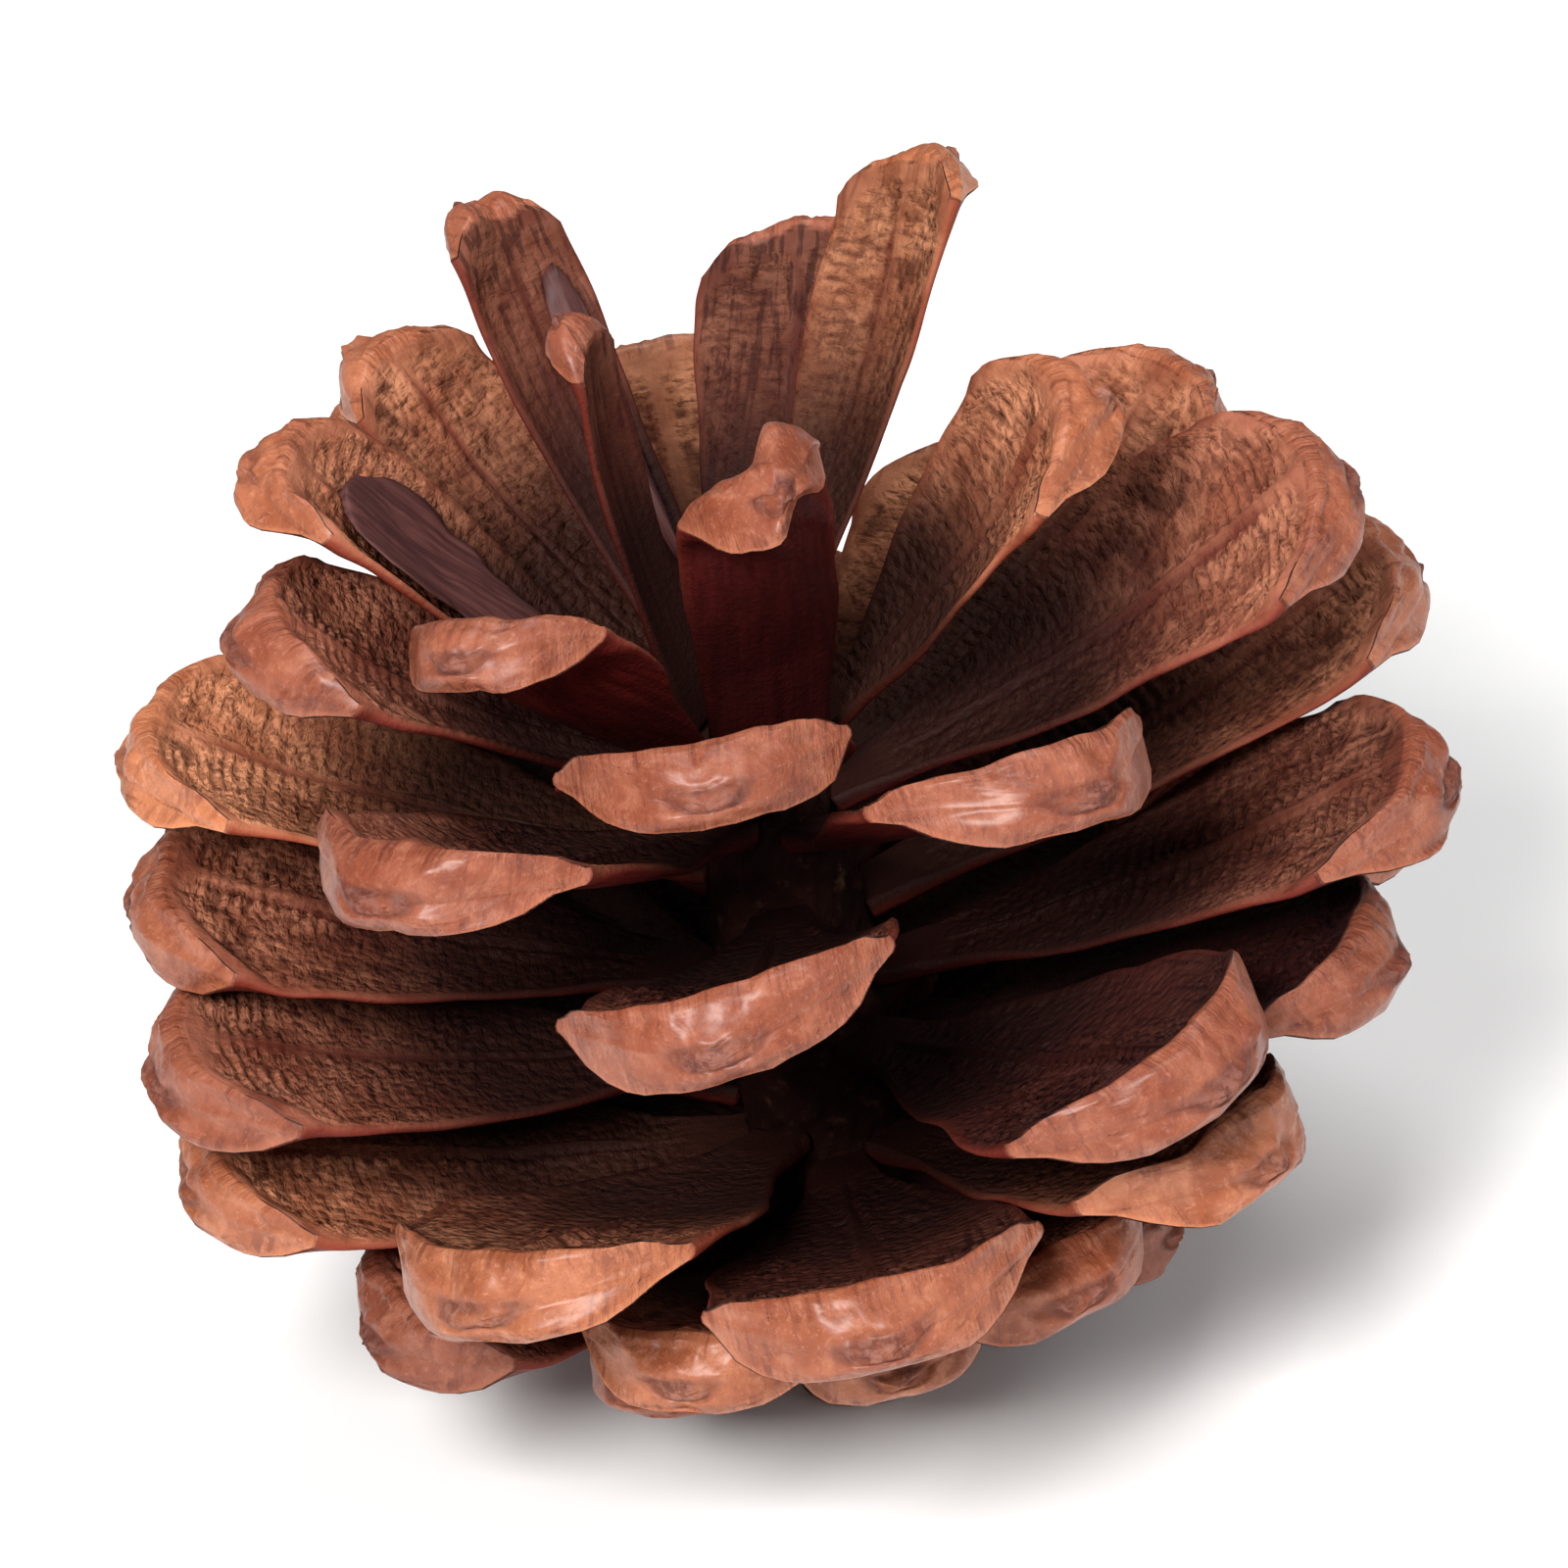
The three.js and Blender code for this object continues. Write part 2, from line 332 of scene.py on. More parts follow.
def imprints(shape, s, v):
    """Where the two seed wings lay on the inner face: 0 outside, 1 inside."""
    reach = shape["imprint"] - IMPRINT_BEND * (np.abs(v) - IMPRINT_MIDDLE) ** 2
    reach = reach + 0.02 * noise(v * 6, 0, layer(shape, "imprint"))
    lengthwise = smoothstep(s, 0.06, 0.14) * (1 - smoothstep(s, reach - 0.03, reach + 0.02))
    crosswise = smoothstep(np.abs(v), 0.02, 0.09) * (1 - smoothstep(np.abs(v), 0.92, 0.99))
    return lengthwise * crosswise * shape["marks"]


def fold(shape, s, v):
    """How far a point is from the line between the two imprints, and how clearly that line shows."""
    middle = 0.035 * noise(s * 5, 0.5, layer(shape, "fold")) + shape["fold"]
    offset = (v - middle) * half_width(shape, s)
    return offset, smoothstep(s, 0.1, 0.3) * (1 - smoothstep(s, 0.84, 0.93))


def ripples_and_pits(shape, s, v, x, y):
    """The corrugation across the imprints, which breaks up into pits here and there."""
    inside = imprints(shape, s, v)
    patch = smoothstep(fractal(x * 0.25, y * 0.3, layer(shape, "patches")), -0.6, 0.2)
    sway = 3.2 * noise(x * 0.4, y * 0.75, layer(shape, "sway"))
    sway = sway + 1.6 * noise(x * 0.9, y * 1.4, layer(shape, "fine sway"))
    gaps = 0.55 + 0.45 * smoothstep(noise(x * 0.9, y * 1.3, layer(shape, "gaps")), -0.5, 0.3)
    wave = np.sin(2 * math.pi * x / RIPPLE_PITCH + sway) * gaps
    ripples = RIPPLE_HEIGHT * wave * inside * patch * smoothstep(s, 0.25, 0.5)
    holes = smoothstep(noise(x * 1.1, y * 1.3, layer(shape, "pits")), 0.0, 0.6) * (1 - 0.8 * patch)
    pits = -PIT_DEPTH * holes * inside * smoothstep(s, 0.3, 0.55)
    return ripples, pits


def inner_relief(shape, s, v, x, y):
    """How far the inner face rises or sinks, and where it is hollow."""
    ripples, pits = ripples_and_pits(shape, s, v, x, y)
    offset, shown = fold(shape, s, v)
    crease = (FOLD_LIP * bell(np.abs(offset), 0.42, 0.25) - FOLD_DEPTH * bell(offset, 0, 0.16)) * shown
    grooves = GROOVE_DEPTH * noise(y * 1.9, x * 0.12, layer(shape, "grooves")) * smoothstep(s, 0.35, 0.6)
    swell = INNER_SWELL * fractal(x * 0.16, y * 0.22, layer(shape, "inner swell"))
    relief = -IMPRINT_DEPTH * imprints(shape, s, v) + ripples + pits + crease + grooves + swell
    hollow = np.clip(-ripples / RIPPLE_HEIGHT, 0, 1) * 0.8 + np.clip(-pits / PIT_DEPTH, 0, 1)
    deepest = -DEEPEST_SHARE * thickness(shape, s, v)
    return np.maximum(relief * fullness(shape), deepest), np.clip(hollow, 0, 1)


def outer_relief(shape, s, v, x, y):
    """How far the outer face stands out."""
    streaks = STREAK_HEIGHT * noise(y * 1.7, x * 0.1, layer(shape, "streaks"))
    keel = KEEL_HEIGHT * bell(v, shape["lean"] * 0.5, 0.22) * smoothstep(s, 0.3, 0.8)
    return streaks + keel + OUTER_SWELL * fractal(x * 0.15, y * 0.2, layer(shape, "outer swell"))


def edge_rings(near, far, side):
    """Two rounded steps from one face's border to the other's."""
    steps = [near + (far - near) * share + [0, side * EDGE_BULGE, 0] for share in (1 / 3, 2 / 3)]
    return np.stack(steps, axis=1)


def body_rings(shape, stations, upper, lower):
    """The closed rings of a scale's blade, and where they are hollow."""
    s = stations[:, None]
    shown = 1 - smoothstep(s, *SMOOTH_RIM)
    top = inner_face(shape, s, upper)
    relief, hollow = inner_relief(shape, s, upper, top[..., 0], top[..., 1])
    top[..., 2] += relief * shown
    under = inner_face(shape, s, lower)
    under[..., 2] -= thickness(shape, s, lower)
    under[..., 2] -= outer_relief(shape, s, lower, under[..., 0], under[..., 1]) * shown
    right = edge_rings(top[:, -1], under[:, 0], 1)
    left = edge_rings(under[:, -1], top[:, 0], -1)
    rings = np.concatenate([top, right, under, left], axis=1)
    hollows = np.zeros(rings.shape[:2])
    hollows[:, :len(upper)] = hollow * shown
    return rings, hollows


def cap_bevel(is_upper):
    return CAP_BEVEL_LOWER + (CAP_BEVEL_UPPER - CAP_BEVEL_LOWER) * is_upper


def rim_relief(shape, rho, y, z, is_upper):
    """Wrinkles across the end's rim, lumps over all of it and a crest along its upper border."""
    wrinkles = noise(y * 2.6, z * 0.35, layer(shape, "wrinkles"))
    wrinkles = wrinkles + 0.6 * noise(y * 4.6, z * 0.5, layer(shape, "fine wrinkles"))
    band = smoothstep(rho, 0.45, 0.62) * (1 - smoothstep(rho, 0.9, 1.0)) * (0.4 + 0.6 * is_upper)
    lumps = fractal(y * 0.5, z * 0.6, layer(shape, "lumps")) * smoothstep(1 - rho, 0, 0.2)
    crest = bell(rho, 0.88, 0.05) * is_upper
    return WRINKLE_HEIGHT * wrinkles * band + LUMP_HEIGHT * lumps + CREST_HEIGHT * crest


def umbo_relief(shape, rho, y, z, angle):
    """The umbo: a low boss in a moat, with crumbs of bark on it."""
    size = UMBO_SIZE * (1 + 0.25 * noise(angle * 1.3, 0, layer(shape, "umbo")) * (rho > 0))
    boss = 1 - smoothstep(rho / size, 0.55, 0.95)
    crumbs = noise(y * 2.6, z * 2.6, layer(shape, "crumbs")) * (rho < UMBO_RINGS)
    return (UMBO_HEIGHT + CRUMB_HEIGHT * crumbs) * boss - MOAT_DEPTH * bell(rho / size, 1.0, 0.22)


def cap_rings(shape, rim, is_upper):
    """Rings from a scale's rim inward over its swollen end to the umbo."""
    drop = UMBO_PLACE * END_FULLNESS * shape["depth"]
    y_middle = shape["lean"] * shape["width"] * CAP_LEAN
    centre = np.array([shape["length"] + UMBO_RISE, y_middle, rim[UPPER_COLUMNS // 2, 2] - drop])
    rings = []
    for rho in CAP_RINGS:
        ring = centre + (rim - centre) * rho
        ring[:, 0] = rim[:, 0] + (centre[0] - rim[:, 0] + CAP_DOME) * (1 - rho**2)
        ring[:, 0] += cap_bevel(is_upper) * math.sqrt(1 - rho**4)
        y, z = ring[:, 1], ring[:, 2]
        angle = np.arctan2(z - centre[2], y - centre[1])
        ring[:, 0] += rim_relief(shape, rho, y, z, is_upper) + umbo_relief(shape, rho, y, z, angle)
        rings.append(ring)
    rings[-1] = rings[-1][:1]
    return rings


def blade_masks(shape, s, around, is_upper, is_edge, hollows):
    """What each point of the blade's skin is part of."""
    tip_gap = shape["length"] * (1 - s) + 1.2 * np.abs(around) ** 3
    wrap = 0.25 + 0.35 * is_upper + 0.25 * noise(around * 4, s * 3, layer(shape, "end border"))
    offset, fold_shown = fold(shape, s, around)
    masks = {
        "end": (1 - smoothstep(tip_gap, wrap * 0.55, wrap)) * (is_upper > 0.5),
        "umbo": 0,
        "moat": 0,
        "upper": is_upper,
        "edge": is_edge * smoothstep(s, 0.1, 0.3),
        "imprint": imprints(shape, s, around) * (is_upper > 0.9),
        "fold": bell(offset, 0, 0.22) * fold_shown * (is_upper > 0.9),
        "outward": s,
        "hollow": hollows,
        "brink": 1,
    }
    return {key: np.broadcast_to(value, hollows.shape).ravel() for key, value in masks.items()}


def cap_masks(rho, is_upper):
    """What each point of one of the cap's rings is part of."""
    masks = {
        "end": 1,
        "umbo": 1 - smoothstep(rho, UMBO_SIZE * 0.85, UMBO_SIZE * 1.25),
        "moat": bell(rho, UMBO_SIZE * 0.95, UMBO_SIZE * 0.3),
        "upper": is_upper * 0.5,
        "edge": 0.9 * smoothstep(rho, 0.9, 0.99) * (1 - is_upper),
        "imprint": 0,
        "fold": 0,
        "outward": 1,
        "hollow": 0,
        "brink": smoothstep(rho, 0.55, 0.92),
    }
    return {key: np.broadcast_to(value, is_upper.shape) for key, value in masks.items()}


def scale_mesh(shape):
    """Every ring of a scale from root to umbo, and a mask for each part of its skin."""
    length = shape["length"]
    upper = np.linspace(-1, 1, UPPER_COLUMNS + 1)
    lower = np.linspace(1, -1, LOWER_COLUMNS + 1)
    around = np.concatenate([upper, [1, 1], lower, [-1, -1]])
    is_upper = np.concatenate([np.ones(len(upper)), [0.6, 0.3], np.zeros(len(lower)), [0.3, 0.6]])
    is_edge = np.concatenate([np.zeros(len(upper)), [1, 1], np.zeros(len(lower)), [1, 1]])
    is_edge = np.maximum(is_edge, smoothstep(np.abs(around), 0.965, 1.0) * 0.4)
    stations = np.linspace(-ROOT_REACH / length, 1, round((length + ROOT_REACH) / STATION_PITCH))
    s = stations[:, None]
    body, hollows = body_rings(shape, stations, upper, lower)
    body[..., 0] -= (CAP_DOME + cap_bevel(is_upper)) * smoothstep(s, *TIP_ZONE)
    rings = list(body)
    masks = [blade_masks(shape, s, around, is_upper, is_edge, hollows)]
    for rho, ring in zip(CAP_RINGS, cap_rings(shape, rings[-1], is_upper)):
        rings.append(ring)
        masks.append(cap_masks(rho, is_upper[:len(ring)]))
    return rings, masks


# ---- meshes ----

def ring_faces(rings):
    """Quads between rings of one size, and a fan at each closed end."""
    faces = []
    offsets = np.cumsum([0] + [len(r) for r in rings])
    for k in range(len(rings) - 1):
        a, b, count = offsets[k], offsets[k + 1], len(rings[k])
        closing = len(rings[k + 1]) == 1
        for i in range(count):
            j = (i + 1) % count
            faces.append((a + i, a + j, b) if closing else (a + i, a + j, b + j, b + i))
    faces.append(tuple(range(len(rings[0]) - 1, -1, -1)))
    return faces


def new_piece(name, points, faces, node, material, attributes=None):
    """A mesh object from points in metres, riding on the cone in place of a CAD node."""
    mesh = bpy.data.meshes.new(name)
    mesh.from_pydata([tuple(p) for p in points], [], [tuple(int(i) for i in f) for f in faces])
    for key, values in (attributes or {}).items():
        vector = np.ndim(values) == 2
        added = mesh.attributes.new(key, "FLOAT_VECTOR" if vector else "FLOAT", "POINT")
        added.data.foreach_set("vector" if vector else "value", np.asarray(values, np.float32).reshape(-1))
    mesh.materials.append(material)
    mesh.shade_smooth()
    piece = bpy.data.objects.new(name, mesh)
    bpy.context.scene.collection.objects.link(piece)
    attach(piece, "root")
    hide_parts(node)
    return piece


def on_seat(shape, points):
    """Points from a scale's own directions to metres in the cone's."""
    return (points @ shape["seat"] + shape["origin"]) * MM


# ---- materials ----

class Nodes:
    """Short names for the shader nodes that the materials use."""

    def __init__(self, name):
        self.material = bpy.data.materials.new(name)
        self.material.use_nodes = True
        self.tree = self.material.node_tree
        self.shader = self.tree.nodes["Principled BSDF"]

    def add(self, kind, inputs=None, **settings):
        node = self.tree.nodes.new(kind)
        for key, value in settings.items():
            setattr(node, key, value)
        for key, value in (inputs or {}).items():
            self.set(node.inputs[key], value)
        return node

    def set(self, socket, value):
        if isinstance(value, bpy.types.NodeSocket):
            self.tree.links.new(value, socket)
        else:
            socket.default_value = value

    def finish(self, **values):
        """Sets the shader's sockets, whose names are given with _ for each space."""
        for key, value in values.items():
            self.set(self.shader.inputs[key.replace("_", " ")], value)

    def attribute(self, name, output="Fac"):
        return self.add("ShaderNodeAttribute", attribute_name=name).outputs[output]

    def fibre(self, stretch):
        """A scale's own directions, in millimetres, stretched along its fibres."""
        place = self.attribute("fibre", "Vector")
        return self.add("ShaderNodeMapping", {"Vector": place, "Scale": stretch}).outputs["Vector"]

    def noise(self, vector, scale, detail=3.0, rough=0.55, distortion=0.0):
        made = self.add("ShaderNodeTexNoise", {
            "Vector": vector, "Scale": scale, "Detail": detail, "Roughness": rough, "Distortion": distortion,
        })
        return made.outputs["Fac"]

    def cells(self, vector, scale):
        return self.add("ShaderNodeTexVoronoi", {"Vector": vector, "Scale": scale}).outputs["Distance"]

    def ramp(self, value, low, high, to_low=0.0, to_high=1.0):
        made = self.add("ShaderNodeMapRange", {
            "Value": value, "From Min": low, "From Max": high, "To Min": to_low, "To Max": to_high,
        }, interpolation_type="SMOOTHSTEP")
        return made.outputs["Result"]

    def math(self, operation, a, b):
        made = self.add("ShaderNodeMath", operation=operation)
        self.set(made.inputs[0], a)
        self.set(made.inputs[1], b)
        return made.outputs["Value"]

    def times(self, a, b):
        return self.math("MULTIPLY", a, b)

    def mix(self, amount, a, b):
        """One colour faded into another."""
        made = self.add("ShaderNodeMix", data_type="RGBA")
        self.set(made.inputs["Factor"], amount)
        self.set(made.inputs[6], a)
        self.set(made.inputs[7], b)
        return made.outputs[2]

    def stain(self, base, stain, mask, strength):
        """A colour over another where a mask shows it, at a strength."""
        return self.mix(self.times(mask, strength), base, stain)

    def blend(self, amount, a, b):
        """One number faded into another."""
        made = self.add("ShaderNodeMix", data_type="FLOAT")
        self.set(made.inputs["Factor"], amount)
        self.set(made.inputs[2], a)
        self.set(made.inputs[3], b)
        return made.outputs[0]

    def bump(self, height, distance, strength, normal=None):
        made = self.add("ShaderNodeBump", {"Height": height, "Distance": distance, "Strength": strength})
        if normal:
            self.set(made.inputs["Normal"], normal)
        return made.outputs["Normal"]


def colour(red, green, blue):
    return (red, green, blue, 1.0)


# A scale's inner face.
TAN = colour(0.50, 0.200, 0.108)
TAN_SHADE = colour(0.30, 0.100, 0.050)
# Painted shade in the troughs of the corrugation, in its pits and in the hollows of the mesh.
PAINTED_RIPPLE_SHADE = colour(0.11, 0.03, 0.016)
PAINTED_PIT_SHADE = colour(0.09, 0.024, 0.014)
PAINTED_HOLLOW_SHADE = colour(0.065, 0.018, 0.01)
PINK = colour(0.36, 0.13, 0.072)
PINK_SHADE = colour(0.20, 0.056, 0.029)
INNER_STREAK = colour(0.16, 0.034, 0.017)
FOLD_LINE = colour(0.09, 0.012, 0.008)
# Painted shade on inner faces that lie under the scales above, which on a few top scales is a darker tint of
# their own.
FACE_SHADE_AND_TINT = colour(0.03, 0.007, 0.005)
STREAK_SHADE_AND_TINT = colour(0.015, 0.003, 0.003)
# Darker towards the root: the wood's own deep brown, with painted shade from the scales above.
INWARD_BROWN_AND_SHADE = colour(0.085, 0.019, 0.012)
ROOT_BROWN_AND_SHADE = colour(0.016, 0.0042, 0.003)

# A scale's outer face.
MAROON = colour(0.19, 0.026, 0.017)
MAROON_SHADE = colour(0.10, 0.012, 0.009)
MAROON_MOTTLE = colour(0.055, 0.008, 0.007)
# Painted shade on outer faces that lie under other scales, which on a few top scales is a darker tint of
# their own.
MAROON_SHADE_AND_TINT = colour(0.03, 0.006, 0.005)
# Darker towards the root: the wood's own deep maroon, with painted shade deep between the scales.
ROOT_MAROON_AND_SHADE = colour(0.02, 0.004, 0.0034)

# A scale's swollen end.
END_WOOD = colour(0.36, 0.118, 0.058)
END_WOOD_SHADE = colour(0.25, 0.066, 0.027)
LUMP_LIGHT = colour(0.48, 0.19, 0.105)
LUMP_SHADE = colour(0.15, 0.036, 0.019)
WRINKLE_SHADE = colour(0.145, 0.034, 0.018)
GRIT_LIGHT = colour(0.52, 0.22, 0.135)
GRIT_SHADE = colour(0.14, 0.038, 0.03)
UMBO_GREY = colour(0.27, 0.12, 0.09)
UMBO_SHADE = colour(0.085, 0.034, 0.03)
MOAT_SHADE = colour(0.08, 0.02, 0.016)
# A dark red line along the blades' thin edges and a lighter orange line along the ends' lower borders.
BLADE_EDGE_LINE = colour(0.19, 0.032, 0.016)
END_RIM_LINE = colour(0.50, 0.17, 0.08)

# The axis and the wings.
# The axis's own dark brown bark, painted nearly black as the shade deep between the scales.
BARK_IN_SHADE = colour(0.020, 0.006, 0.0045)
DEEPER_BARK_IN_SHADE = colour(0.008, 0.0028, 0.0022)
PALER_BARK_IN_SHADE = colour(0.045, 0.02, 0.013)
STUB_WOOD = colour(0.42, 0.28, 0.17)
STUB_SHADE = colour(0.12, 0.065, 0.04)
WING = colour(0.10, 0.034, 0.03)
WING_SHADE = colour(0.042, 0.013, 0.013)
WING_PATCH = colour(0.07, 0.028, 0.03)

# How far each kind of fine unevenness stands out, in metres.
GRIT_BUMP = 0.00012
RIPPLE_BUMP = 0.0004
WRINKLE_BUMP = 0.00025
LUMP_BUMP = 0.0003
BARK_BUMP = 0.0003
VEIN_BUMP = 0.00008

# What every point of a scale's skin carries for its material.
MASKS = [
    "tone_and_painted_light", "painted_shade_and_tint", "upper", "outward", "edge", "end",
    "brink", "umbo", "moat", "imprint", "hollow", "fold",
]


def scale_grain(n):
    """The patterns in a scale's wood, each from 0 to 1."""
    fibre = n.fibre((1, 1, 1))
    return {
        "streak": n.noise(n.fibre((0.12, 1.3, 1)), 2.0, 4),
        "mottle": n.noise(fibre, 0.35, 3),
        "grit": n.noise(fibre, 3.0, 4, 0.65),
        "ripple": n.noise(n.fibre((1.1, 0.42, 1)), 1.9, 3, 0.6, 0.5),
        "pits": n.cells(fibre, 1.9),
        "wrinkle": n.noise(n.attribute("radial", "Vector"), 1.0, 3, 0.6),
        "lumps": n.noise(fibre, 0.8, 4, 0.6, 0.4),
        "wear": n.noise(fibre, 0.9, 3),
        "crumbs": n.noise(fibre, 1.8, 4, 0.6),
        "moat": n.noise(fibre, 0.7, 2),
    }


def inner_colour(n, mask, grain):
    """The inner face: tan in the imprints, pinker round them, painted shade in its hollows, darker towards
    the root.
    """
    mottle = n.ramp(grain["mottle"], 0.35, 0.65)
    tan = n.mix(mottle, TAN_SHADE, TAN)
    # Painted shade in the troughs and pits of the corrugation's bumps and in the hollows that the mesh's
    # ripples and pits leave.
    tan = n.stain(tan, PAINTED_RIPPLE_SHADE, n.ramp(grain["ripple"], 0.5, 0.62), 0.6)
    tan = n.stain(tan, PAINTED_PIT_SHADE, n.ramp(grain["pits"], 0.3, 0.1), 0.5)
    tan = n.stain(tan, PAINTED_HOLLOW_SHADE, mask["hollow"], 0.85)
    inner = n.mix(mask["imprint"], n.mix(mottle, PINK_SHADE, PINK), tan)
    inner = n.stain(inner, INNER_STREAK, n.ramp(grain["streak"], 0.55, 0.75), 0.5)
    inner = n.stain(inner, FOLD_LINE, mask["fold"], 0.8)
    # Painted shade where the face lies under the scales above, with dark streaks in it; on a few top scales
    # a darker tint of their own.
    inner = n.mix(mask["painted_shade_and_tint"], inner, FACE_SHADE_AND_TINT)
    inner = n.stain(inner, STREAK_SHADE_AND_TINT, mask["painted_shade_and_tint"], n.ramp(grain["streak"], 0.5, 0.6))
    # Darker towards the root, partly the wood's own deep brown and partly painted shade from the scales
    # above.
    inner = n.mix(n.ramp(mask["outward"], 0.95, 0.5, 0.0, 0.6), inner, INWARD_BROWN_AND_SHADE)
    return n.stain(inner, ROOT_BROWN_AND_SHADE, n.ramp(mask["outward"], 0.8, 0.42), 0.95)


def outer_colour(n, mask, grain):
    """The outer face: dark red-brown, smooth, with faint streaks."""
    outer = n.mix(n.ramp(grain["streak"], 0.35, 0.7), MAROON_SHADE, MAROON)
    outer = n.stain(outer, MAROON_MOTTLE, n.ramp(grain["mottle"], 0.45, 0.7), 0.5)
    # Painted shade where the scale lies under others; on a few top scales a darker tint of their own.
    outer = n.stain(outer, MAROON_SHADE_AND_TINT, mask["painted_shade_and_tint"], 0.7)
    # Darker towards the root, partly its own deep maroon and partly painted shade deep between the scales.
    return n.stain(outer, ROOT_MAROON_AND_SHADE, n.ramp(mask["outward"], 0.8, 0.42), 0.6)


def end_colour(n, mask, grain):
    """The swollen end: orange brown, wrinkled across its rim, with a weathered grey umbo."""
    wood = n.mix(n.ramp(grain["mottle"], 0.3, 0.7), END_WOOD_SHADE, END_WOOD)
    wood = n.stain(wood, LUMP_LIGHT, n.ramp(grain["lumps"], 0.5, 0.68), 0.45)
    wood = n.stain(wood, LUMP_SHADE, n.ramp(grain["lumps"], 0.48, 0.32), 0.35)
    wrinkles = n.ramp(grain["wrinkle"], 0.5, 0.66)
    wood = n.stain(wood, WRINKLE_SHADE, wrinkles, n.blend(mask["brink"], 0.15, 0.65))
    wood = n.stain(wood, GRIT_LIGHT, n.ramp(grain["grit"], 0.46, 0.3), 0.4)
    wood = n.stain(wood, GRIT_SHADE, n.ramp(grain["grit"], 0.6, 0.75), 0.25)
    umbo = n.mix(n.ramp(grain["crumbs"], 0.42, 0.58), UMBO_SHADE, UMBO_GREY)
    wood = n.stain(wood, umbo, mask["umbo"], n.ramp(grain["wear"], 0.35, 0.6, 0.15, 0.75))
    return n.stain(wood, MOAT_SHADE, mask["moat"], n.ramp(grain["moat"], 0.35, 0.6, 0.05, 0.5))


def scale_relief(n, mask, grain):
    """The finest unevenness: grit, corrugation, the rim's wrinkles and small lumps, one over the other."""
    grit = n.math("ADD", grain["grit"], n.times(grain["streak"], 0.6))
    corrugation = n.math("ADD", n.times(grain["ripple"], -1.0), n.times(grain["pits"], 0.6))
    corrugation = n.times(corrugation, mask["imprint"])
    wrinkles = n.times(grain["wrinkle"], n.times(mask["end"], mask["brink"]))
    lumps = n.times(grain["lumps"], mask["end"])
    normal = n.bump(grit, GRIT_BUMP, 0.8)
    normal = n.bump(corrugation, RIPPLE_BUMP, 0.9, normal)
    normal = n.bump(wrinkles, WRINKLE_BUMP, 0.9, normal)
    return n.bump(lumps, LUMP_BUMP, 0.6, normal)


def scale_wood():
    n = Nodes("scale wood")
    mask = {name: n.attribute(name) for name in MASKS}
    grain = scale_grain(n)
    on_inner_face = n.ramp(mask["upper"], 0.2, 0.8)
    blade = n.mix(on_inner_face, outer_colour(n, mask, grain), inner_colour(n, mask, grain))
    skin = n.mix(mask["end"], blade, end_colour(n, mask, grain))
    # The dark red line along the blade's edges, and the lighter orange line along the end's lower border.
    edge_line = n.mix(mask["end"], BLADE_EDGE_LINE, END_RIM_LINE)
    skin = n.stain(skin, edge_line, mask["edge"], n.ramp(mask["outward"], 0.5, 0.97, 0.1, 0.7))
    # Each scale lighter or darker by a random amount, with painted shade on the lowest scales and on
    # scale_08 and painted light on scale_41.
    lit_and_toned = n.add("ShaderNodeHueSaturation", {
        "Color": skin,
        "Value": n.ramp(mask["tone_and_painted_light"], -1.8, 1.8, 0.62, 1.3),
        "Hue": n.ramp(mask["tone_and_painted_light"], -1.0, 1.0, 0.495, 0.505),
    })
    blade_roughness = n.blend(on_inner_face, 0.42, 0.62)
    end_roughness = n.ramp(grain["grit"], 0.3, 0.7, 0.34, 0.48)
    rough = n.blend(mask["end"], blade_roughness, end_roughness)
    n.finish(
        Base_Color=lit_and_toned.outputs["Color"],
        Roughness=n.blend(mask["umbo"], rough, 0.75),
        Specular_IOR_Level=0.1,
        Coat_Weight=n.times(n.blend(mask["end"], 0.0, 0.4), n.blend(mask["umbo"], 1.0, 0.2)),
        Coat_Roughness=0.34,
        Normal=scale_relief(n, mask, grain),
    )
    return n.material


def axis_wood():
    """Bark between the scales, its dark brown painted near black as shade, and the stub's pale broken wood
    below.
    """
    n = Nodes("axis wood")
    place = n.add("ShaderNodeTexCoord").outputs["Object"]
    grain = n.noise(place, 900, 5, 0.65)
    bark = n.mix(n.ramp(n.noise(place, 260, 3), 0.4, 0.65), DEEPER_BARK_IN_SHADE, BARK_IN_SHADE)
    bark = n.mix(n.ramp(grain, 0.55, 0.75), bark, PALER_BARK_IN_SHADE)
    stub = n.mix(n.ramp(grain, 0.4, 0.65), STUB_SHADE, STUB_WOOD)
    height = n.add("ShaderNodeSeparateXYZ", {"Vector": place}).outputs["Z"]
    n.finish(
        Base_Color=n.mix(n.ramp(height, 0.0042, 0.0012), bark, stub),
        Roughness=n.ramp(grain, 0.3, 0.7, 0.8, 0.95),
        Specular_IOR_Level=0.04,
        Normal=n.bump(grain, BARK_BUMP, 0.9),
    )
    return n.material


def wing_skin():
    """A seed wing's papery purple-brown skin, with veins along it."""
    n = Nodes("wing skin")
    veins = n.noise(n.fibre((0.1, 1.6, 1)), 1.6, 4)
    patches = n.noise(n.fibre((0.5, 0.5, 1)), 0.7, 3)
    skin = n.mix(n.ramp(veins, 0.35, 0.7), WING_SHADE, WING)
    n.finish(
        Base_Color=n.stain(skin, WING_PATCH, n.ramp(patches, 0.5, 0.7), 0.5),
        Roughness=n.ramp(veins, 0.3, 0.7, 0.45, 0.6),
        Specular_IOR_Level=0.2,
        Normal=n.bump(veins, VEIN_BUMP, 0.8),
    )
    return n.material


# ---- the scales ----

SCALE_WOOD = scale_wood()

# How far apart the scales' patterns are taken, so that no two scales share one.
FIBRE_STEP = 7.3
RADIAL_STEP = 3.1

